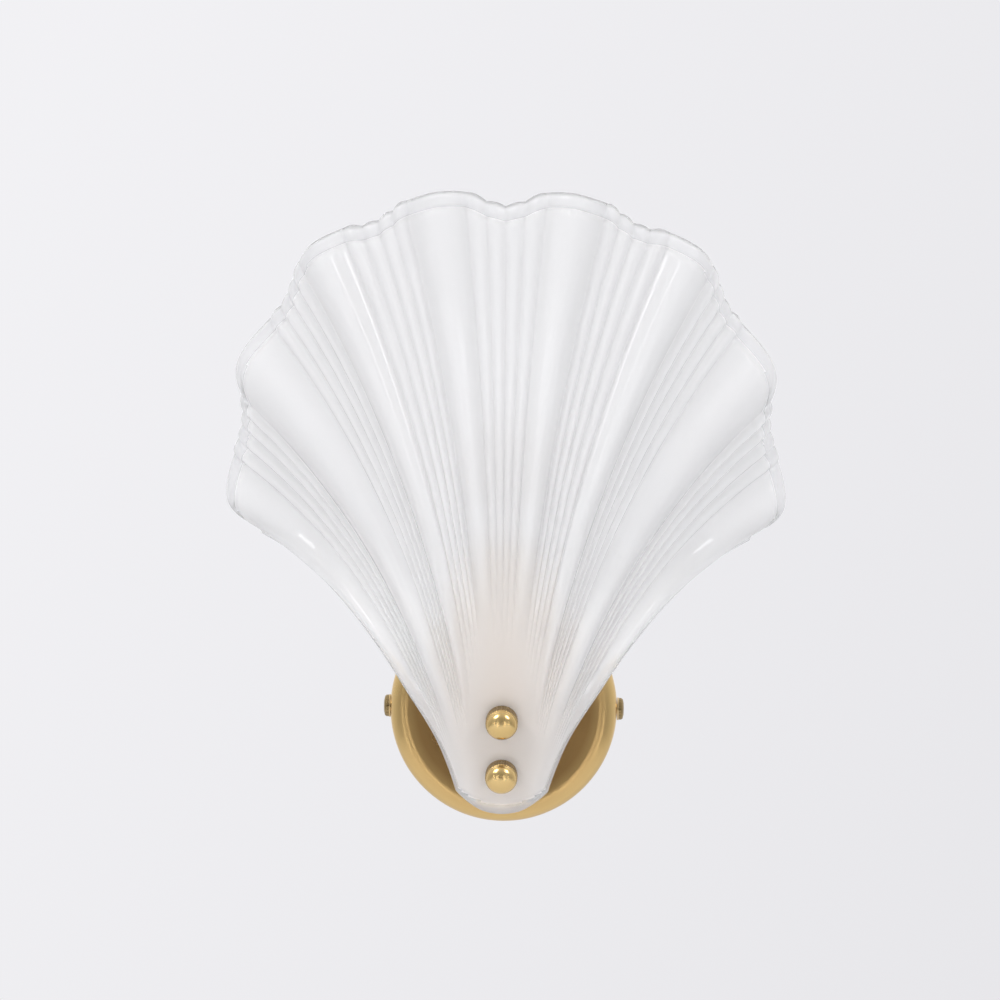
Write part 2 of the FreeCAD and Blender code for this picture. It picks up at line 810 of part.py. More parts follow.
def make_shade_bracket():
    """A strip bent to a hook: the foot on the canopy, a short shelf and the leaning tab."""
    angle, tab = size("lean_angle"), size("tab_gauge")
    rise, reach = cosine(angle), sine(angle)
    behind = size("glass_gauge") + size("rear_washer_gauge")
    front = size("canopy_depth")

    def on_tab(along, back):
        along, back = as_size(along), as_size(back)
        return (size("seat_height") + along * rise + back * reach,
                size("neck_depth") + along * reach - back * rise)

    body = new_body("shade_bracket")
    side = new_sketch(body, "shade_bracket_side", "YZ_Plane")
    add_outline(side, (
        on_tab(size("tab_above"), behind), on_tab(-size("tab_below"), behind),
        (size("foot_bottom"), front), (size("foot_top"), front), (size("foot_top"), front + tab),
        (size("foot_bottom") + tab, front + tab), on_tab(tab - size("tab_below"), behind + tab),
        on_tab(size("tab_above"), behind + tab)))
    pad(body, side, size("tab_width"), midplane=True)
    outer_bend = on_tab(-size("tab_below"), behind)
    inner_bend = on_tab(tab - size("tab_below"), behind + tab)

    def along_bend(corner):
        return lambda edge: (abs(edge.CenterOfMass.y - as_size(corner[0]).value) < 1e-3
                             and abs(edge.CenterOfMass.z - as_size(corner[1]).value) < 1e-3)

    round_edges(body, tab * 1.5, along_bend(outer_bend))
    round_edges(body, tab * 1.5, along_bend((size("foot_bottom"), front)))
    round_edges(body, tab * 0.5, along_bend(inner_bend))
    round_edges(body, tab * 0.5, along_bend((size("foot_bottom") + tab, front + tab)))
    foot = new_sketch(body, "shade_bracket_foot_holes", "XY_Plane", front)
    add_circle(foot, 0, size("foot_screw_high"), size("screw_radius") + 0.1)
    add_circle(foot, 0, size("foot_screw_low"), size("screw_radius") + 0.1)
    cut_up(body, foot, tab)
    body.Placement = facing_room()
    doc.recompute()
    item = body
    for index, along in enumerate((0.0, -mm("stud_spacing"))):
        hole = doc.addObject("Part::Cylinder", "shade_bracket_stud_hole_%d" % (index + 1))
        hole.setExpression("Radius", size("screw_radius").text)
        hole.setExpression("Height", (tab * 3).text)
        place = on_glass(along)
        place.Base = place.multVec(FreeCAD.Vector(0, 0, -(behind + tab * 2).value))
        hole.Placement = place
        cut = doc.addObject("Part::Cut", "shade_bracket_cut_%d" % (index + 1))
        cut.Base = item
        cut.Tool = hole
        item = cut
    body.Label = "shade_bracket_strip"
    item.Label = "shade_bracket"
    keep(item)


def pair_on_foot(name, make_one):
    members = []
    for index, height in enumerate((mm("foot_screw_high"), mm("foot_screw_low"))):
        body = make_one("%s_%d" % (name, index + 1))
        body.Placement = facing_room(0, height, 0)
        members.append(body)
    group(name, members)


def make_foot_fixings():
    """Two screws through the foot and the canopy, with lock washers and nuts inside."""
    shank, tab = size("screw_radius"), size("tab_gauge")
    face = size("canopy_depth") + tab
    inside = size("canopy_depth") - size("canopy_wall")

    def screw(name):
        body = new_body(name)
        revolve(body, ((0, inside - 5.0), (shank, inside - 5.0), (shank, face), (shank * 1.8, face),
                       (shank * 1.7, face + 1.4), (shank * 1.1, face + 2.2), (0, face + 2.3)))
        return body

    def lock_washer(name):
        body = new_body(name)
        revolve(body, ring_corners(shank, shank * 1.9, inside - 0.8, inside))
        return body

    def nut(name):
        body = hexagon_nut(name, shank * 3.5, shank, 3.2)
        return body

    pair_on_foot("bracket_screws", screw)
    pair_on_foot("bracket_lock_washers", lock_washer)
    members = []
    for index, height in enumerate((mm("foot_screw_high"), mm("foot_screw_low"))):
        body = nut("bracket_nuts_%d" % (index + 1))
        body.Placement = facing_room(0, height, inside.value - 0.8 - 3.2)
        members.append(body)
    group("bracket_nuts", members)


# ---------------------------------------------------------------- lamp arm

def make_arm_tube():
    """A tube that leaves the canopy square to the wall and turns up to the lampholder."""
    height, start, reach = size("tube_height"), size("tube_start"), size("tube_reach")
    bend, top = size("tube_bend"), size("tube_top")
    body = new_body("arm_tube")
    path = new_sketch(body, "arm_tube_path", "YZ_Plane")
    turn_in, turn_out = reach - bend, height + bend
    path.addGeometry(Part.LineSegment(point(height, start), point(height, turn_in)), False)
    arc = Part.Circle(point(turn_out, turn_in), FreeCAD.Vector(0, 0, 1), bend.value)
    path.addGeometry(Part.ArcOfCircle(arc, math.pi / 2, math.pi), False)
    path.addGeometry(Part.LineSegment(point(turn_out, reach), point(top, reach)), False)
    path.addConstraint(Sketcher.Constraint("Tangent", 0, 2, 1, 2))
    path.addConstraint(Sketcher.Constraint("Coincident", 1, 1, 2, 1))
    pin_vertex(path, 0, 1, height, start)
    pin_vertex(path, 0, 2, height, turn_in)
    pin_vertex(path, 2, 1, turn_out, reach)
    pin_vertex(path, 2, 2, top, reach)
    ring = new_sketch(body, "arm_tube_ring", "XY_Plane", start)
    add_circle(ring, 0, height, size("tube_radius"))
    add_circle(ring, 0, height, size("tube_bore"))
    pipe = body.newObject("PartDesign::AdditivePipe", "arm_tube_pipe")
    pipe.Profile = ring
    pipe.Spine = (path, ["Edge1", "Edge2", "Edge3"])
    body.Tip = pipe
    keep(body, facing_room())


def make_arm_fixings():
    tube, face = size("tube_radius"), size("canopy_depth")
    inside = face - size("canopy_wall")
    place = facing_room(0, mm("tube_height"), 0)
    collar = size("collar_radius")
    gauge = size("collar_gauge")
    turned("arm_collar", ((tube, face), (collar, face), (collar, face + gauge * 0.6),
                          (collar - gauge * 0.4, face + gauge), (tube, face + gauge)), place)
    turned("arm_lock_washer", ring_corners(tube, tube + 3.5, inside - 1.0, inside), place)
    nut = hexagon_nut("arm_lock_nut", 14.0, tube, 3.0)
    keep(nut, facing_room(0, mm("tube_height"), inside.value - 4.0))
    bore, start = size("tube_bore"), size("tube_start")
    turned("tube_bush", ((bore - 0.7, start - 1.0), (tube, start - 1.0), (tube, start),
                         (bore, start), (bore, start + 5.0), (bore - 0.7, start + 5.0)), place)


# ---------------------------------------------------------------- lampholder and lamp

def make_lampholder():
    """Heights in this group are measured from the floor of the cup, on the lamp's axis."""
    tube, cup, wall = size("tube_radius"), size("cup_radius"), size("cup_wall")
    height = size("cup_height")
    place = upright(mm("tube_reach"), mm("holder_base"))
    nut, gauge = size("holder_nut_radius"), size("holder_nut_gauge")
    bevel = gauge * 0.25
    turned("holder_nut", ((tube, -gauge), (nut - bevel * 1.25, -gauge), (nut, bevel - gauge), (nut, 0),
                          (tube, 0)), place)
    body = new_body("holder_cup")
    revolve(body, ((tube, 0), (cup, 0), (cup, height), (cup - wall, height),
                   (cup - wall, wall), (tube, wall)))
    round_edges(body, wall * 3, lambda edge: is_ring(edge, cup.value, 0))
    round_edges(body, wall * 2, lambda edge: is_ring(edge, (cup - wall).value, wall.value))
    keep(body, place)
    lock = hexagon_nut("holder_lock_nut", size("holder_lock_across"), tube, size("holder_lock_gauge"))
    keep(lock, upright(mm("tube_reach"), mm("holder_base") + mm("cup_wall")))
    make_holder_inside(place)


def make_holder_inside(place):
    """The porcelain body, the threaded shell with its lug, and the centre contact."""
    cup, height = size("cup_radius"), size("cup_height")
    well, floor, seat = size("holder_well"), size("holder_floor"), size("holder_seat")
    shell, skin, hole = size("shell_bore"), size("shell_gauge"), size("shell_hole")
    bore = shell + skin
    outer = cup - size("cup_wall") - size("holder_slack")
    shell_top, top, chamfer = height + size("shell_proud"), height + size("holder_rim"), size("holder_chamfer")
    mouth = bore + skin * 1.6
    turned("holder_body", ((well, floor), (outer, floor), (outer, height), (cup, height),
                           (cup, top - chamfer), (cup - chamfer, top), (mouth, top),
                           (mouth, shell_top), (bore, shell_top), (bore, seat), (well, seat)), place)
    body = new_body("holder_shell")
    revolve(body, ((hole, seat), (bore, seat), (bore, shell_top), (shell, shell_top),
                   (shell, seat + skin), (hole, seat + skin)))
    lug = new_sketch(body, "holder_shell_lug", "XZ_Plane")
    start, reach, low = size("lug_start"), size("lug_reach"), size("lug_height")
    bite = seat + skin * 0.6
    add_outline(lug, ((start, low), (reach, low), (reach, bite), (reach - skin, bite),
                      (reach - skin, low + skin), (start, low + skin)))
    pad(body, lug, size("contact_width"), midplane=True)
    keep(body, place)
    tip = size("lamp_tip") - size("holder_base") - size("holder_slack")
    root, bed = size("contact_root"), size("contact_bed")
    body = new_body("holder_contact")
    strip = new_sketch(body, "holder_contact_side", "XZ_Plane")
    add_outline(strip, ((-root, bed), (0.1, bed), (0.1, bed + skin), (-4.6, bed + skin),
                        (-0.9, tip - skin), (1.6, tip - skin), (1.6, tip), (-1.2, tip),
                        (-root, bed + 0.8)))
    pad(body, strip, size("contact_width"), midplane=True)
    keep(body, place)


def make_lamp():
    """A golf-ball lamp: the glass envelope, the screw cap and the insulated tip."""
    ball, cap = size("lamp_ball_radius"), size("lamp_cap_radius")
    tip = size("lamp_tip")
    skirt = tip + size("lamp_cap_length")
    place = upright(mm("tube_reach"), 0)
    body = new_body("bulb_globe")
    sketch = new_sketch(body, "bulb_globe_profile", "XZ_Plane")
    neck = cap + 1.2
    meet = Size(math.sqrt(ball.value ** 2 - neck.value ** 2),
                "sqrt(%s * %s - %s * %s)" % (ball.text, ball.text, neck.text, neck.text))
    low = skirt + size("lamp_neck")
    height = low + meet
    sketch.addGeometry(Part.LineSegment(point(0, skirt), point(neck, skirt)), False)
    sketch.addGeometry(Part.LineSegment(point(neck, skirt), point(neck, low)), False)
    arc = Part.Circle(point(0, height), FreeCAD.Vector(0, 0, 1), ball.value)
    start = math.atan2(-meet.value, neck.value)
    sketch.addGeometry(Part.ArcOfCircle(arc, start, math.pi / 2), False)
    sketch.addGeometry(Part.LineSegment(point(0, height + ball), point(0, skirt)), False)
    for index in range(4):
        sketch.addConstraint(Sketcher.Constraint("Coincident", index, 2, (index + 1) % 4, 1))
    pin_vertex(sketch, 0, 1, 0, skirt)
    pin_vertex(sketch, 0, 2, neck, skirt)
    pin_vertex(sketch, 1, 2, neck, low)
    pin_vertex(sketch, 3, 1, 0, height + ball)
    sketch.addConstraint(Sketcher.Constraint("PointOnObject", 2, 3, -2))
    turn = body.newObject("PartDesign::Revolution", "bulb_globe_revolution")
    turn.Profile = sketch
    turn.ReferenceAxis = (sketch, ["V_Axis"])
    turn.Angle = 360
    body.Tip = turn
    round_edges(body, size("lamp_neck_round"), lambda edge: is_ring(edge, neck.value, low.value))
    keep(body, place)
    turned("bulb_cap", ((0, tip + 3.2), (5.2, tip + 3.2), (cap, tip + 5.0), (cap, skirt - 1.5),
                        (cap + 1.2, skirt), (0, skirt)), place)
    turned("bulb_contact", ((0, tip), (1.8, tip), (2.4, tip + 0.6), (5.2, tip + 3.2), (0, tip + 3.2)), place)


# ---------------------------------------------------------------- wiring

def make_terminal_block():
    length, width, height = size("block_length"), size("block_width"), size("block_height")
    gauge, pitch = size("strip_gauge"), size("pole_pitch")
    body = new_body("terminal_block")
    base = new_sketch(body, "terminal_block_base", "XY_Plane", gauge)
    add_outline(base, box_corners(length * -0.5, width * -0.5, length * 0.5, width * 0.5))
    pad(body, base, height)
    for name, y in (("upper", width * 0.28), ("lower", width * -0.28)):
        wells = new_sketch(body, "terminal_block_%s_wells" % name, "XY_Plane", gauge + height * 0.55)
        for pole in (-1, 0, 1):
            add_circle(wells, pitch * pole, y, 2.0)
        cut_up(body, wells, height)
    ways = new_sketch(body, "terminal_block_ways", "XZ_Plane")
    for pole in (-1, 0, 1):
        add_circle(ways, pitch * pole, gauge + height * 0.3, size("lead_radius") + 0.3)
    cut_through(body, ways)
    keep(body, facing_room())


def make_terminal_screws():
    gauge, height, pitch = size("strip_gauge"), size("block_height"), size("pole_pitch")
    seat = gauge + height * 0.55
    members = []
    for pole in (-1, 0, 1):
        for y in (1, -1):
            body = new_body("terminal_screw_%d_%d" % (pole + 2, (y + 3) // 2))
            revolve(body, ((0, seat), (1.8, seat), (1.8, seat + 2.5), (0, seat + 2.5)))
            place = facing_room(pole * mm("pole_pitch"), y * mm("block_width") * 0.28, 0)
            body.Placement = place
            members.append(body)
    group("terminal_screws", members)


def make_earth_screw():
    shank, gauge = size("screw_radius"), size("strip_gauge")
    top = gauge + 0.8
    place = facing_room(mm("earth_across"), 0, 0)
    turned("earth_screw", ((0, 0.2), (shank, 0.2), (shank, top), (shank * 1.8, top),
                           (shank * 1.7, top + 1.4), (0, top + 2.2)),
           place)
    turned("earth_tag", ring_corners(shank, shank * 2, gauge, top), place)


def rounded_path(points, radii):
    """Straight runs joined by tangent arcs, one radius for each inner corner."""
    edges = []
    start = points[0]
    for before, corner, after, radius in zip(points, points[1:], points[2:], radii):
        into = (corner - before).normalize()
        out = (after - corner).normalize()
        turn = into.getAngle(out)
        back = radius * math.tan(turn / 2)
        first, last = corner - into * back, corner + out * back
        toward = (out - into).normalize()
        middle = corner + toward * (radius / math.cos(turn / 2) - radius)
        edges.append(Part.LineSegment(start, first).toShape())
        edges.append(Part.Arc(first, middle, last).toShape())
        start = last
    edges.append(Part.LineSegment(start, points[-1]).toShape())
    return Part.Wire(edges)


def make_lead(name, points, radii):
    """A round insulated lead along a route given as (across, height, depth) points."""
    route = [FreeCAD.Vector(x, -depth, z) for x, z, depth in points]
    path = rounded_path(route, radii)
    ring = Part.Wire([Part.makeCircle(mm("lead_radius"), route[0], route[1] - route[0])])
    lead = doc.addObject("Part::Feature", name)
    lead.Label = name
    lead.Shape = path.makePipeShell([ring], True, True)
    expected = math.pi * mm("lead_radius") ** 2 * path.Length
    if abs(lead.Shape.Volume - expected) > 0.01 * expected:
        raise RuntimeError("%s has the wrong volume" % name)
    keep(lead)


def make_leads():
    way = mm("strip_gauge") + mm("block_height") * 0.3
    edge = mm("block_width") / 2
    pitch = mm("pole_pitch")
    height, reach = mm("tube_height"), mm("tube_reach")
    held = edge - 3.0
    for name, pole, inner, end in (("live_lead", -pitch, -1.3, mm("holder_base") + 7.9),
                                   ("neutral_lead", 0.0, 1.3, mm("holder_base") + 8.9)):
        make_lead(name, ((pole, held, way), (pole, edge + 6.0, way), (inner, height, way),
                         (inner, height, reach), (inner, end, reach)),
                  (4.0, 4.0, mm("tube_bend")))
    make_lead("earth_lead", ((pitch, held, way), (pitch, edge + 4.5, way),
                             (mm("earth_across"), edge + 4.5, way), (mm("earth_across"), 4.2, way)), (3.0, 3.0))


# ---------------------------------------------------------------- build, check, write

def check_all():
    """Stop if any feature failed or any sub-part is not a sound solid."""
    doc.recompute()
    for item in doc.Objects:
        if "Invalid" in item.State or "Error" in item.State:
            raise RuntimeError("failed: %s %s" % (item.Name, item.State))
    for item in sub_parts:
        shape = item.Shape
        if shape.isNull() or not shape.isValid() or not shape.Solids:
            raise RuntimeError("bad shape: %s" % item.Label)


def write_all():
    os.makedirs("parts", exist_ok=True)
    for item in sub_parts:
        item.Shape.exportStep(os.path.join("parts", item.Label + ".step"))


make_wall_bracket()
make_canopy()
make_side_screw("left_screw", "left_washer", -1)
make_side_screw("right_screw", "right_washer", 1)
make_shade_bracket()
make_foot_fixings()
make_glass_fixings()
make_glass_shade()
make_thumb_nut("upper_nut", "upper_washer", 0.0)
make_thumb_nut("lower_nut", "lower_washer", -mm("stud_spacing"))
make_arm_tube()
make_arm_fixings()
make_lampholder()
make_lamp()
make_terminal_block()
make_terminal_screws()
make_earth_screw()
make_leads()
check_all()
write_all()
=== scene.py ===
import json
import math

import bpy
from mathutils import Matrix, Vector


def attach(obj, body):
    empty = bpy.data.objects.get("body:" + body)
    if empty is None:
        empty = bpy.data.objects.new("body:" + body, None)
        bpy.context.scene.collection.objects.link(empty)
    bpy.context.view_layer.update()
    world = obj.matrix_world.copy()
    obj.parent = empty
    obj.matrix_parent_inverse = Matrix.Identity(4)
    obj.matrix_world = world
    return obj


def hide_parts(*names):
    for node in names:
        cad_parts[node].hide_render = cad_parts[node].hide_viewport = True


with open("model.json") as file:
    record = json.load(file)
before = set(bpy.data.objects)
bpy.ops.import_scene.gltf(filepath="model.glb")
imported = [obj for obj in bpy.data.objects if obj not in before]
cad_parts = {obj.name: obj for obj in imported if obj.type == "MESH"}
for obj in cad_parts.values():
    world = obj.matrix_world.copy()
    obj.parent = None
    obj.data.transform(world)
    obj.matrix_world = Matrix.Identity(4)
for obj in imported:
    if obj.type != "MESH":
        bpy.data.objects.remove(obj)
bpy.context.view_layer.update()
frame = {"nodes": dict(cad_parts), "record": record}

MM = 0.001

# ---------------------------------------------------------------- glass: sizes in mm, fan angles in degrees

LEAN = math.radians(18.0)
SEAT_HEIGHT = -3.0
NECK_DEPTH = 57.0
GLASS_GAUGE = 5.0
TONGUE_HALF = 20.8
TONGUE_FOOT = -45.7
TONGUE_RISE = 8.5
RIM_CENTRE = 109.0
FAN_ANGLE = 108.0
# the rim's radius near each lobe's tip, near each reed group's middle and at the fan's end,
# by angle from the top
RIM_STOPS = ((0.0, 102.0), (16.0, 113.4), (29.5, 110.0), (43.0, 120.2), (56.0, 113.7),
             (70.0, 121.0), (82.5, 114.6), (97.5, 121.9), (108.0, 113.0))
REED_SCALLOP = 1.0

# the lobes of one side, each as the angle of its middle and its width, with reeds between them
LOBES = ((15.5, 13.0), (42.0, 11.0), (69.0, 17.0), (97.0, 14.0))
REEDS_PER_GROUP = 4
LOBE_HEIGHT = 5.5
REED_HEIGHT = 1.7
REED_RIM_SHARE = 0.4
HAIR_HEIGHT = 0.10
HAIR_PITCH = 2.4

# how a rib leaves the tongue, how it arrives at the rim, and its curve's pulls as shares of its length
RIB_LEAVE = 17.0
RIB_ARRIVE = 1.33
RIB_ARRIVE_LOSS = 0.25
RIB_START_PULL = 0.30
RIB_END_PULL = 0.355

# where the ribs fade in, as shares of their length; past FADE_MIDDLE of the half fan they do so sooner
FADE_START = 0.27
FADE_SOONER = 0.15
FADE_MIDDLE = 0.2
FADE_SPREAD = 0.25
FADE_LENGTH = 0.24
RIB_LOW_SHARE = 0.35

# how deep the sides of the neck and of the fan wrap back, and how the top flares out from the wall
NECK_SAG = 14.0
NECK_FLAT = 0.3
FAN_START = 8.0
FAN_RISE = 72.0
FAN_SAG = 58.0
FAN_EASE = 0.2
FLARE_START = 150.0
FLARE_RATE = 0.0016

LIP_WIDTH = 5.5
LIP_DROP = 2.2
LIP_GROOVE = 0.7
GROOVE_WIDTH = 1.0

COLUMNS_PER_LOBE = 32
COLUMNS_PER_REED = 10
COLUMNS_PER_FLANK = 8
SLOPE_REACH = 2
GLASS_ROWS = 130
ROW_EASE = 0.1

# ---------------------------------------------------------------- thumb nuts: sizes in mm

STUD_SPACING = 25.0
NUT_RADIUS = 7.0
NUT_BASE = 1.2
NUT_BAND = 6.0
NUT_DOME = 4.0
NUT_BEVEL = 0.15
NUT_LAND = 0.5
NUT_FOOT_SHARE = 0.90
NUT_BEVEL_SHARE = 0.97
NUT_SHOULDER_SHARE = 0.925
NUT_SEGMENTS = 384
DOME_STEPS = 14
KNURL_NOTCHES = 40
KNURL_DEPTH = 0.45
KNURL_ROWS = 6
# the first and the last row of the nut's profile that the knurl cuts into
KNURL_FIRST = 2
KNURL_LAST = KNURL_FIRST + KNURL_ROWS

# ---------------------------------------------------------------- camera and surroundings, in metres

CAMERA_DISTANCE = 1.788
CAMERA_LENS = 145.4
CAMERA_SENSOR = 36.0
AIM = Vector((-0.0030, -0.012, 0.0916))
VIEW_AZIMUTH = math.radians(1.08)
VIEW_ROLL = math.radians(0.8)

SOFTBOX_AIM = (0.0, -0.06, 0.05)
LEFT_SOFTBOX = {"place": (-0.9, -1.1, 1.0), "size": (0.5, 0.7), "power": 9.0}
RIGHT_SOFTBOX = {"place": (0.9, -1.1, 0.9), "size": (0.4, 0.6), "power": 6.0}
# narrow lights low in front, which draw the fine bright lines on the ribs
STRIP_PLACES = (-0.60, -0.24, 0.20, 0.54)
STRIP_FRONT = -0.75
STRIP_LEVEL = -0.20
STRIP_SIZE = (0.035, 0.40)
STRIP_POWER = 0.22
STRIP_AIM = (0.0, -0.08, 0.08)

GROUND_HALF = 0.8
GROUND_LEVEL = -0.32

# ---------------------------------------------------------------- looks

GLASS_IOR = 1.45
GRAIN_DEPTH = 0.0002
# the part of the cloudy noise over which a colour changes
CLOUD_ENDS = (0.35, 0.65)
FULL_ENDS = (0.0, 1.0)
# the canopy's face is painted brown up to the first radius as painted shade, and bright from the second, in
# metres
CANOPY_SHADE_RADII = (0.038, 0.048)
# the painted warm patch on the glass, in place of the brass and the bulb that shine through it, in metres
PAINTED_WARMTH_HALF_WIDTH = 0.036
PAINTED_WARMTH_HALF_HEIGHT = 0.085


def make_camera():
    data = bpy.data.cameras.new("picture_camera")
    data.lens = CAMERA_LENS
    data.sensor_width = CAMERA_SENSOR
    data.clip_start = 0.05
    data.clip_end = 20.0
    camera = bpy.data.objects.new("picture_camera", data)
    bpy.context.scene.collection.objects.link(camera)
    out = Vector((math.sin(VIEW_AZIMUTH), -math.cos(VIEW_AZIMUTH), 0.0))
    facing = Matrix.Rotation(VIEW_AZIMUTH, 4, "Z") @ Matrix.Rotation(math.radians(90), 4, "X")
    camera.matrix_world = (Matrix.Translation(AIM + out * CAMERA_DISTANCE) @ facing
                           @ Matrix.Rotation(VIEW_ROLL, 4, "Z"))
    bpy.context.scene.camera = camera


# ---------------------------------------------------------------- mesh helpers

def make_mesh(name, points, faces, smooth=True):
    mesh = bpy.data.meshes.new(name)
    mesh.from_pydata([tuple(point) for point in points], [], faces)
    mesh.validate()
    mesh.update()
    piece = bpy.data.objects.new(name, mesh)
    bpy.context.scene.collection.objects.link(piece)
    for polygon in mesh.polygons:
        polygon.use_smooth = smooth
    return piece


def on_glass(along):
    """Matrix whose z is square to the leaning neck, with its origin on the glass front."""
    base = Vector((0.0, -NECK_DEPTH - along * math.sin(LEAN), SEAT_HEIGHT + along * math.cos(LEAN)))
    return Matrix.Translation(base * MM) @ Matrix.Rotation(math.radians(90) + LEAN, 4, "X")


def lathe(name, profile, place, ripple, segments):
    """A profile of (radius, height) in mm turned about z; ripple(row, turn) changes the radius."""
    points = []
    faces = []
    for row, (radius, height) in enumerate(profile):
        for step in range(segments):
            turn = 2 * math.pi * step / segments
            reach = radius + ripple(row, turn)
            spot = Vector((reach * math.cos(turn), reach * math.sin(turn), height))
            points.append(place @ (spot * MM))
    for row in range(len(profile) - 1):
        for step in range(segments):
            after = (step + 1) % segments
            first, second = row * segments, (row + 1) * segments
            faces.append((first + step, first + after, second + after, second + step))
    points.append(place @ (Vector((0.0, 0.0, profile[-1][1])) * MM))
    top = (len(profile) - 1) * segments
    for step in range(segments):
        faces.append((top + step, top + (step + 1) % segments, len(points) - 1))
    return make_mesh(name, points, faces)


# ---------------------------------------------------------------- glass shade

def smooth_step(value):
    value = min(1.0, max(0.0, value))
    return value * value * (3.0 - 2.0 * value)


def ribs_across(angle):
    """Height of the broad lobes and of the small reeds at an angle of the fan, both from 0 to 1."""
    angle = abs(angle)
    group_start = -(LOBES[0][0] - LOBES[0][1] / 2)
    for centre, width in LOBES:
        if angle < centre - width / 2:
            step = (angle - group_start) / (centre - width / 2 - group_start) * REEDS_PER_GROUP
            return 0.0, math.sin(math.pi * (step % 1.0))
        if angle <= centre + width / 2:
            return math.cos(math.pi * (angle - centre) / width), 0.0
        group_start = centre + width / 2
    return 0.0, 0.0


def rim_radius(angle):
    """The scalloped rim: smooth curves from a reed group's middle to a lobe's tip and back."""
    angle = abs(angle)
    for (start, low), (end, high) in zip(RIM_STOPS, RIM_STOPS[1:]):
        if angle <= end:
            return low + (high - low) * smooth_step((angle - start) / (end - start))
    return RIM_STOPS[-1][1]


def rim_point(angle):
    """The rim in the front view, as (x, z), with a small scallop at each reed."""
    radius = rim_radius(angle) + REED_SCALLOP * ribs_across(angle)[1]
    turn = math.radians(angle)
    return radius * math.sin(turn), RIM_CENTRE + radius * math.cos(turn)


def stepped(point, turn, distance):
    """The point at a distance along a line that is turned from upright, in the front view."""
    return point[0] + distance * math.sin(turn), point[1] + distance * math.cos(turn)


class RibLine:
    """One rib's line on the shade's base surface, from the tongue (along 0) to the rim (along 1)."""

    def __init__(self, angle):
        side = angle / FAN_ANGLE
        self.side = abs(side)
        start = (TONGUE_HALF * side, TONGUE_FOOT + TONGUE_RISE * side * side)
        end = rim_point(angle)
        length = math.dist(start, end)
        leave = math.radians(RIB_LEAVE * side)
        arrive = math.atan2(end[0], end[1] - FAN_START) * (RIB_ARRIVE - RIB_ARRIVE_LOSS * self.side)
        first = stepped(start, leave, RIB_START_PULL * length)
        second = stepped(end, arrive, -RIB_END_PULL * length)
        self.corners = (start, first, second, end)

    def front_view(self, along):
        rest = 1.0 - along
        weights = (rest ** 3, 3 * rest ** 2 * along, 3 * rest * along ** 2, along ** 3)
        return tuple(sum(weight * corner[axis] for weight, corner in zip(weights, self.corners))
                     for axis in (0, 1))

    def point(self, along):
        """The base surface leans out, wraps back at its sides and flares at the top."""
        x, z = self.front_view(along)
        opening = smooth_step((z - FAN_START) / FAN_RISE)
        neck = max(0.0, (self.side - NECK_FLAT) / (1.0 - NECK_FLAT)) ** 3
        fan = (1.0 + FAN_EASE) * self.side ** 2 - FAN_EASE * self.side ** 4
        wrap = (1.0 - opening) * neck * NECK_SAG + opening * fan * FAN_SAG
        depth = NECK_DEPTH + (z - SEAT_HEIGHT) * math.tan(LEAN) - wrap
        depth += FLARE_RATE * max(0.0, z - FLARE_START) ** 2
        return Vector((x, -depth, z))


def rib_strength(angle, along):
    """The ribs fade out towards the flat panel that the nuts sit on."""
    side = abs(angle) / FAN_ANGLE
    start = FADE_START - FADE_SOONER * min(1.0, max(0.0, side - FADE_MIDDLE) / FADE_SPREAD)
    share = RIB_LOW_SHARE + (1.0 - RIB_LOW_SHARE) * along
    return smooth_step((along - start) / FADE_LENGTH) * share


def rib_relief(angle, along, inside, strength):
    """How far the lobes, the reeds and the fine hairlines stand out of the base surface."""
    lobe, reed = ribs_across(angle)
    reed_share = REED_RIM_SHARE + (1.0 - REED_RIM_SHARE) * inside
    rise = (LOBE_HEIGHT * lobe + REED_HEIGHT * reed * reed_share) * strength
    hair = HAIR_HEIGHT * abs(math.sin(math.pi * angle / HAIR_PITCH)) * strength
    return rise + hair * 4.0 * along * (1.0 - along)


def lip_drop(edge, inside):
    """How far the front falls away towards the shade's edge: a round lip behind a groove."""
    drop = LIP_DROP * (1.0 - math.sqrt(max(0.0, 1.0 - (1.0 - inside) ** 2)))
    return drop + LIP_GROOVE * math.exp(-((edge - LIP_WIDTH) / GROOVE_WIDTH) ** 2)


def fan_angles():
    """Angles of the mesh's columns, tied to the edges of the lobes and the reeds."""
    stops = [0.0]

    def add(end, count):
        start = stops[-1]
        stops.extend(start + (end - start) * step / count for step in range(1, count + 1))

    add(LOBES[0][0] - LOBES[0][1] / 2, REEDS_PER_GROUP // 2 * COLUMNS_PER_REED)
    for index, (centre, width) in enumerate(LOBES):
        add(centre + width / 2, COLUMNS_PER_LOBE)
        if index + 1 < len(LOBES):
            add(LOBES[index + 1][0] - LOBES[index + 1][1] / 2, REEDS_PER_GROUP * COLUMNS_PER_REED)
    add(FAN_ANGLE, COLUMNS_PER_FLANK)
    return [-angle for angle in reversed(stops[1:])] + stops


def glass_rows():
    """Stations along a rib, closer together at the tongue and at the rim."""
    rows = []
    for step in range(GLASS_ROWS + 1):
        swing = math.cos(math.pi * step / GLASS_ROWS)
        rows.append(0.5 - 0.5 * swing * (1.0 - ROW_EASE + ROW_EASE * abs(swing)))
    return rows


def surface_slopes(base, angles, rows, column, row):
    """The base surface's slopes at a point, across the fan by the degree and up the whole rib."""
    left, right = max(0, column - SLOPE_REACH), min(len(angles) - 1, column + SLOPE_REACH)
    low, high = max(0, row - 1), min(len(rows) - 1, row + 1)
    across = (base[right][row] - base[left][row]) / (angles[right] - angles[left])
    upward = (base[column][high] - base[column][low]) / (rows[high] - rows[low])
    return across, upward


def edge_distance(angle, along, across, upward):
    """The distance in mm from a point of the base surface to the nearest edge of the shade."""
    slant = math.sin(across.angle(upward))
    return min((FAN_ANGLE - abs(angle)) * across.length * slant,
               along * upward.length, (1.0 - along) * upward.length)


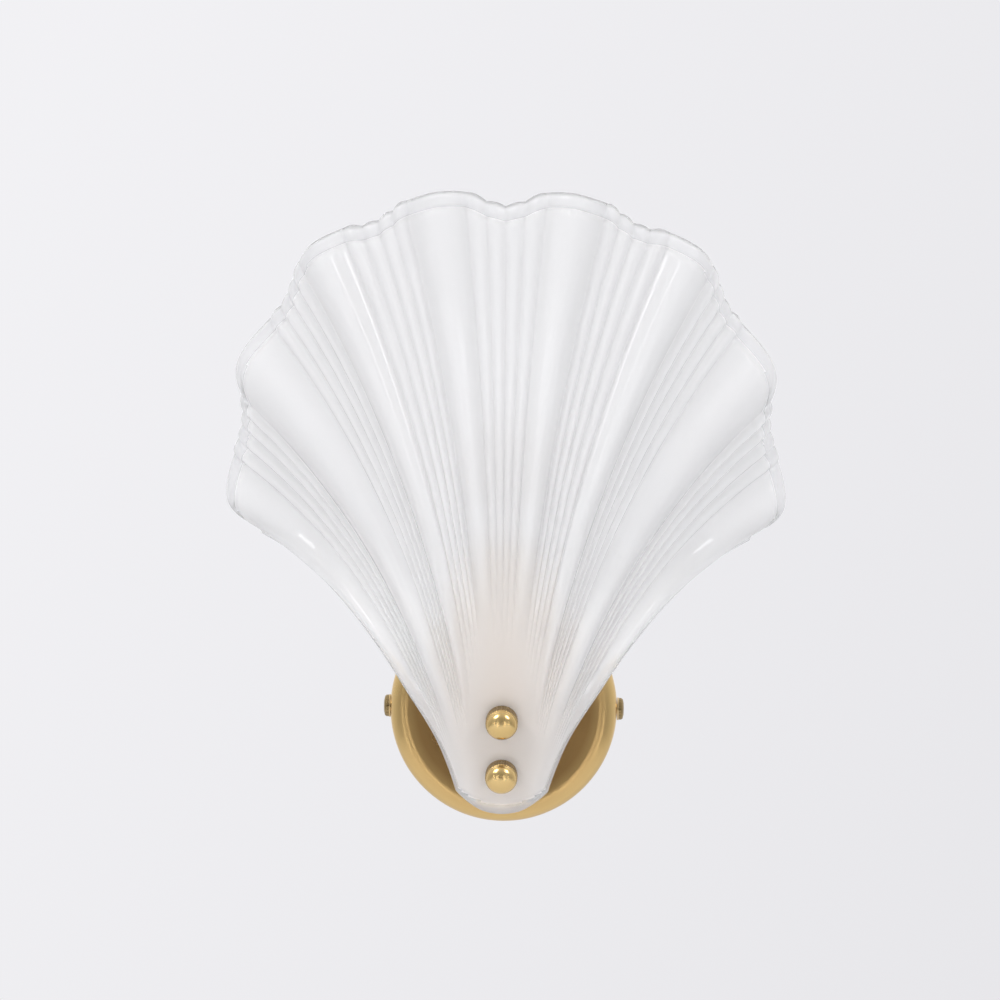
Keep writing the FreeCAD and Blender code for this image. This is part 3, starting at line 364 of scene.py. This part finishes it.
def glass_surfaces(angles, rows):
    """The front and the back points of the shade, column by column, and which lie in the lip."""
    base = []
    for angle in angles:
        line = RibLine(angle)
        base.append([line.point(along) for along in rows])
    front, back, in_lip = [], [], []
    for column, angle in enumerate(angles):
        lobe = ribs_across(angle)[0]
        front_column, back_column, lip_column = [], [], []
        for row, along in enumerate(rows):
            across, upward = surface_slopes(base, angles, rows, column, row)
            normal = across.cross(upward).normalized()
            if normal.y > 0:
                normal = -normal
            edge = edge_distance(angle, along, across, upward)
            inside = min(1.0, edge / LIP_WIDTH)
            strength = rib_strength(angle, along)
            relief = rib_relief(angle, along, inside, strength)
            point = base[column][row]
            front_column.append(point + normal * (relief - lip_drop(edge, inside)))
            back_column.append(point + normal * (strength * LOBE_HEIGHT * lobe - GLASS_GAUGE))
            lip_column.append(edge < LIP_WIDTH)
        front.append(front_column)
        back.append(back_column)
        in_lip.append(lip_column)
    return front, back, in_lip


def shell_faces(columns, count):
    """Faces of the front, of the back and of the edge between them, for columns of count points."""
    behind = columns * count
    faces = []
    for column in range(columns - 1):
        for row in range(count - 1):
            first, second = column * count + row, (column + 1) * count + row
            faces.append((first, second, second + 1, first + 1))
            faces.append((behind + first, behind + first + 1, behind + second + 1, behind + second))
    for column in range(columns - 1):
        for row in (0, count - 1):
            first, second = column * count + row, (column + 1) * count + row
            quad = (first, second, behind + second, behind + first)
            faces.append(quad if row else quad[::-1])
    for row in range(count - 1):
        for column in (0, columns - 1):
            first = column * count + row
            quad = (first, first + 1, behind + first + 1, behind + first)
            faces.append(quad[::-1] if column else quad)
    return faces


def make_glass_shade(frosted, clear):
    angles = fan_angles()
    rows = glass_rows()
    front, back, in_lip = glass_surfaces(angles, rows)
    points = [point * MM for column in front for point in column]
    points += [point * MM for column in back for point in column]
    shade = make_mesh("shell_glass", points, shell_faces(len(angles), len(rows)))
    shade.data.materials.append(frosted)
    shade.data.materials.append(clear)
    polished = [flag for column in in_lip for flag in column] * 2
    for polygon in shade.data.polygons:
        if all(polished[corner] for corner in polygon.vertices):
            polygon.material_index = 1
    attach(shade, "base")
    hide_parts("glass_shade")


# ---------------------------------------------------------------- thumb nuts

def nut_profile():
    """A knurled band with a small bevel at each end, under a dome that is steeper at its edge."""
    foot, bevel = NUT_RADIUS * NUT_FOOT_SHARE, NUT_RADIUS * NUT_BEVEL_SHARE
    shoulder = NUT_RADIUS * NUT_SHOULDER_SHARE
    top = NUT_BASE + NUT_BAND
    rows = [(foot, NUT_BASE), (bevel, NUT_BASE + NUT_BEVEL), (NUT_RADIUS, NUT_BASE + NUT_LAND)]
    for step in range(1, KNURL_ROWS + 1):
        rise = (NUT_BAND - 2 * NUT_LAND) * step / KNURL_ROWS
        rows.append((NUT_RADIUS, NUT_BASE + NUT_LAND + rise))
    rows += [(bevel, top - NUT_BEVEL), (shoulder, top)]
    for step in range(1, DOME_STEPS):
        turn = math.pi / 2 * step / DOME_STEPS
        rows.append((shoulder * math.cos(turn), top + NUT_DOME * math.sin(turn)))
    return rows


def knurl(row, turn):
    """The notches round the nut's band, as a change of its radius in mm."""
    if KNURL_FIRST <= row <= KNURL_LAST:
        return -KNURL_DEPTH * math.sin(KNURL_NOTCHES * turn / 2) ** 2
    return 0.0


def make_thumb_nut(name, node, along, looks):
    nut = lathe(name, nut_profile(), on_glass(along), knurl, NUT_SEGMENTS)
    nut.data.materials.append(looks["polished_brass"])
    nut.data.materials.append(looks["dark_brass_and_shade"])
    # the band from the foot to the top of the knurl is darker brass: painted shade for the knurl's grooves
    # and the dark ring round the nut
    for polygon in nut.data.polygons[:KNURL_LAST * NUT_SEGMENTS]:
        polygon.material_index = 1
    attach(nut, node)
    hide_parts(node)


# ---------------------------------------------------------------- shader helpers

def new_material(name):
    material = bpy.data.materials.new(name)
    material.use_nodes = True
    nodes = material.node_tree.nodes
    return material, nodes, material.node_tree.links, nodes["Principled BSDF"]


def add_noise(nodes, links, scale, detail):
    """Cloudy noise fixed to the object, from 0 to 1."""
    noise = nodes.new("ShaderNodeTexNoise")
    noise.inputs["Scale"].default_value = scale
    noise.inputs["Detail"].default_value = detail
    where = nodes.new("ShaderNodeTexCoord")
    links.new(where.outputs["Object"], noise.inputs["Vector"])
    return noise.outputs["Fac"]


def add_bump(nodes, links, shader, height, strength):
    bump = nodes.new("ShaderNodeBump")
    bump.inputs["Strength"].default_value = strength
    bump.inputs["Distance"].default_value = GRAIN_DEPTH
    links.new(height, bump.inputs["Height"])
    links.new(bump.outputs["Normal"], shader.inputs["Normal"])


def add_roughness(nodes, links, shader, source, low, high):
    spread = nodes.new("ShaderNodeMapRange")
    spread.inputs["To Min"].default_value = low
    spread.inputs["To Max"].default_value = high
    links.new(source, spread.inputs["Value"])
    links.new(spread.outputs["Result"], shader.inputs["Roughness"])


def add_share(nodes, links, source, low, high):
    """How far the source has come from low to high, from 0 to 1."""
    spread = nodes.new("ShaderNodeMapRange")
    spread.inputs["From Min"].default_value = low
    spread.inputs["From Max"].default_value = high
    links.new(source, spread.inputs["Value"])
    return spread.outputs["Result"]


def add_clouded(nodes, links, base, cloud, strength):
    """The base value with a little of the cloudy noise on top."""
    blend = nodes.new("ShaderNodeMath")
    blend.operation = "MULTIPLY_ADD"
    blend.inputs[1].default_value = strength
    links.new(cloud, blend.inputs[0])
    links.new(base, blend.inputs[2])
    return blend.outputs["Value"]


def add_ramp(nodes, links, factor, colours, socket, ends=FULL_ENDS):
    """The first colour up to the first end of the factor, and the second from the second end."""
    ramp = nodes.new("ShaderNodeValToRGB")
    for element, end, colour in zip(ramp.color_ramp.elements, ends, colours):
        element.position = end
        element.color = (*colour, 1.0)
    links.new(factor, ramp.inputs["Fac"])
    links.new(ramp.outputs["Color"], socket)


# ---------------------------------------------------------------- materials

def brass_material():
    material, nodes, links, shader = new_material("polished_brass_look")
    shader.inputs["Metallic"].default_value = 1.0
    cloud = add_noise(nodes, links, 45.0, 4.0)
    add_ramp(nodes, links, cloud, ((0.76, 0.54, 0.23), (0.82, 0.59, 0.27)),
             shader.inputs["Base Color"], CLOUD_ENDS)
    add_roughness(nodes, links, shader, cloud, 0.20, 0.30)
    grain = add_noise(nodes, links, 900.0, 2.0)
    add_bump(nodes, links, shader, grain, 0.05)
    return material


def canopy_painted_shade_material():
    """Brass with painted shade: the face is painted browner than the rounded edge, in place of its darker
    reflections and the glass's shadow.
    """
    material, nodes, links, shader = new_material("canopy_brass_painted_shade_look")
    shader.inputs["Metallic"].default_value = 1.0
    where = nodes.new("ShaderNodeTexCoord")
    flat = nodes.new("ShaderNodeVectorMath")
    flat.operation = "MULTIPLY"
    flat.inputs[1].default_value = (1.0, 0.0, 1.0)
    links.new(where.outputs["Object"], flat.inputs[0])
    reach = nodes.new("ShaderNodeVectorMath")
    reach.operation = "LENGTH"
    links.new(flat.outputs["Vector"], reach.inputs[0])
    edge = add_share(nodes, links, reach.outputs["Value"], *CANOPY_SHADE_RADII)
    cloud = add_noise(nodes, links, 60.0, 4.0)
    blend = add_clouded(nodes, links, edge, cloud, 0.10)
    # painted shade: brown on the face, brass colour on the rounded edge
    add_ramp(nodes, links, blend, ((0.44, 0.26, 0.10), (0.78, 0.55, 0.24)),
             shader.inputs["Base Color"])
    add_roughness(nodes, links, shader, cloud, 0.24, 0.34)
    return material


def glass_material():
    """Satin pressed glass: milky in itself and partly clear, with a painted warm glow in its middle for the
    brass and the bulb shining through.
    """
    material, nodes, links, shader = new_material("frosted_glass_look")
    shader.inputs["Transmission Weight"].default_value = 0.40
    shader.inputs["IOR"].default_value = GLASS_IOR
    shader.inputs["Coat Weight"].default_value = 0.9
    shader.inputs["Coat Roughness"].default_value = 0.05
    where = nodes.new("ShaderNodeTexCoord")
    place = nodes.new("ShaderNodeMapping")
    place.inputs["Scale"].default_value = (1.0 / PAINTED_WARMTH_HALF_WIDTH, 0.0, 1.0 / PAINTED_WARMTH_HALF_HEIGHT)
    links.new(where.outputs["Object"], place.inputs["Vector"])
    painted_warmth = nodes.new("ShaderNodeTexGradient")
    painted_warmth.gradient_type = "SPHERICAL"
    links.new(place.outputs["Vector"], painted_warmth.inputs["Vector"])
    frost = add_noise(nodes, links, 400.0, 3.0)
    blend = add_clouded(nodes, links, painted_warmth.outputs["Fac"], frost, 0.05)
    # painted light: near-white glass, painted warmer towards the middle where the brass and the bulb shine
    # through
    add_ramp(nodes, links, blend, ((0.985, 0.985, 0.99), (0.975, 0.90, 0.83)),
             shader.inputs["Base Color"])
    add_roughness(nodes, links, shader, frost, 0.40, 0.48)
    return material


def clear_lip_material():
    """The fire-polished lip: the same glass without the frost."""
    material, nodes, links, shader = new_material("clear_lip_look")
    shader.inputs["Transmission Weight"].default_value = 0.60
    shader.inputs["IOR"].default_value = GLASS_IOR
    ripple = add_noise(nodes, links, 120.0, 2.0)
    add_ramp(nodes, links, ripple, ((0.97, 0.97, 0.98), (0.99, 0.99, 0.995)),
             shader.inputs["Base Color"], CLOUD_ENDS)
    add_roughness(nodes, links, shader, ripple, 0.16, 0.24)
    return material


def plain_material(name, colour, roughness, metallic=0.0, scale=300.0, bump=0.05):
    """A plain look with a fine grain in its colour, its roughness and its relief."""
    material, nodes, links, shader = new_material(name)
    shader.inputs["Metallic"].default_value = metallic
    grain = add_noise(nodes, links, scale, 3.0)
    darker = tuple(channel * 0.9 for channel in colour)
    add_ramp(nodes, links, grain, (darker, colour), shader.inputs["Base Color"], CLOUD_ENDS)
    add_roughness(nodes, links, shader, grain, roughness * 0.85, roughness * 1.15)
    add_bump(nodes, links, shader, grain, bump)
    return material


def slot_materials():
    """One look for each material slot of the record, and the looks that only some nodes wear."""
    return {
        "polished_brass": brass_material(),
        "bare_brass": plain_material("bare_brass_look", (0.72, 0.52, 0.26), 0.32, 1.0),
        "canopy_brass_painted_shade": canopy_painted_shade_material(),
        # darker brass: painted shade on the nuts' knurled bands, and the side screws' darker colour
        "dark_brass_and_shade": plain_material("dark_brass_and_shade_look", (0.40, 0.29, 0.14), 0.34, 1.0),
        "zinc_steel": plain_material("zinc_steel_look", (0.62, 0.63, 0.64), 0.35, 1.0),
        "frosted_glass": glass_material(),
        "clear_lip": clear_lip_material(),
        "opal_glass": plain_material("opal_glass_look", (0.93, 0.84, 0.79), 0.25, 0.0, 60.0, 0.0),
        "soft_washer": plain_material("soft_washer_look", (0.80, 0.79, 0.76), 0.5),
        "white_plastic": plain_material("white_plastic_look", (0.85, 0.85, 0.83), 0.4),
        "white_porcelain": plain_material("white_porcelain_look", (0.88, 0.86, 0.80), 0.15),
        "live_insulation": plain_material("live_insulation_look", (0.20, 0.08, 0.03), 0.4),
        "neutral_insulation": plain_material("neutral_insulation_look", (0.02, 0.08, 0.40), 0.4),
        "earth_insulation": plain_material("earth_insulation_look", (0.10, 0.40, 0.06), 0.4),
        "lamp_cap_metal": plain_material("lamp_cap_metal_look", (0.70, 0.70, 0.70), 0.3, 1.0),
        "solder": plain_material("solder_look", (0.60, 0.60, 0.60), 0.4, 1.0),
    }


# nodes whose look differs a little from the rest of their slot: the canopy with its painted shade, the side
# screws in the darker brass
OWN_LOOKS = {"canopy": "canopy_brass_painted_shade", "left_screw": "dark_brass_and_shade", "right_screw": "dark_brass_and_shade"}


def dress_nodes(looks):
    slots = {entry["node"]: entry["material_slot"] for entry in frame["record"]["subparts"]}
    for node, item in frame["nodes"].items():
        item.data.materials.clear()
        item.data.materials.append(looks[OWN_LOOKS.get(node, slots[node])])


# ---------------------------------------------------------------- world, lights and ground

def add_background(nodes, links, axis, low, high, colours):
    """A background whose colour changes as a direction's reach along the axis goes from low to high."""
    where = nodes.new("ShaderNodeTexCoord")
    reach = nodes.new("ShaderNodeVectorMath")
    reach.operation = "DOT_PRODUCT"
    reach.inputs[1].default_value = axis
    links.new(where.outputs["Generated"], reach.inputs[0])
    shader = nodes.new("ShaderNodeBackground")
    share = add_share(nodes, links, reach.outputs["Value"], low, high)
    add_ramp(nodes, links, share, colours, shader.inputs["Color"])
    return shader.outputs["Background"]


def add_shader_mix(nodes, links, factor, first, second):
    mixer = nodes.new("ShaderNodeMixShader")
    links.new(factor, mixer.inputs["Fac"])
    links.new(first, mixer.inputs[1])
    links.new(second, mixer.inputs[2])
    return mixer.outputs["Shader"]


def make_world():
    """A pale room: the backdrop behind the object and its glass, even for matt, darker for metal."""
    world = bpy.data.worlds.new("pale_room")
    bpy.context.scene.world = world
    world.use_nodes = True
    nodes, links = world.node_tree.nodes, world.node_tree.links
    nodes.clear()
    output = nodes.new("ShaderNodeOutputWorld")
    path = nodes.new("ShaderNodeLightPath")
    backdrop = add_background(nodes, links, (1.0, 0.0, -0.5), -0.18, 0.18,
                              ((0.885, 0.88, 0.905), (0.80, 0.795, 0.82)))
    matt = add_background(nodes, links, (0.0, 1.0, 0.3), -1.0, 1.0,
                          ((0.59, 0.59, 0.60), (0.80, 0.80, 0.81)))
    metal = add_background(nodes, links, (0.0, 0.8, 0.6), -1.0, 1.0,
                           ((0.20, 0.20, 0.20), (0.98, 0.98, 0.98)))
    shown = nodes.new("ShaderNodeMath")
    shown.operation = "MAXIMUM"
    links.new(path.outputs["Is Camera Ray"], shown.inputs[0])
    links.new(path.outputs["Is Transmission Ray"], shown.inputs[1])
    around = add_shader_mix(nodes, links, path.outputs["Is Glossy Ray"], matt, metal)
    room = add_shader_mix(nodes, links, shown.outputs["Value"], around, backdrop)
    links.new(room, output.inputs["Surface"])


def make_area_light(name, aim, place, size, power):
    data = bpy.data.lights.new(name, "AREA")
    data.shape = "RECTANGLE"
    data.size, data.size_y = size
    data.energy = power
    light = bpy.data.objects.new(name, data)
    bpy.context.scene.collection.objects.link(light)
    light.location = place
    light.rotation_euler = (Vector(aim) - Vector(place)).to_track_quat("-Z", "Y").to_euler()


def make_lights():
    make_area_light("left_softbox", SOFTBOX_AIM, **LEFT_SOFTBOX)
    make_area_light("right_softbox", SOFTBOX_AIM, **RIGHT_SOFTBOX)
    for number, across in enumerate(STRIP_PLACES, start=1):
        place = (across, STRIP_FRONT, STRIP_LEVEL)
        make_area_light("strip_%d" % number, STRIP_AIM, place, STRIP_SIZE, STRIP_POWER)


def make_ground():
    corners = [(x * GROUND_HALF, y * GROUND_HALF, GROUND_LEVEL)
               for x, y in ((-1, -1), (1, -1), (1, 1), (-1, 1))]
    ground = make_mesh("ground", corners, [(0, 1, 2, 3)], smooth=False)
    ground.data.materials.append(plain_material("ground_look", (0.84, 0.84, 0.85), 0.8))


LOOKS = slot_materials()
dress_nodes(LOOKS)
make_glass_shade(LOOKS["frosted_glass"], LOOKS["clear_lip"])
make_thumb_nut("upper_thumb_nut", "upper_nut", 0.0, LOOKS)
make_thumb_nut("lower_thumb_nut", "lower_nut", -STUD_SPACING, LOOKS)
make_camera()
make_world()
make_lights()
make_ground()
bpy.context.scene.view_settings.view_transform = "Standard"
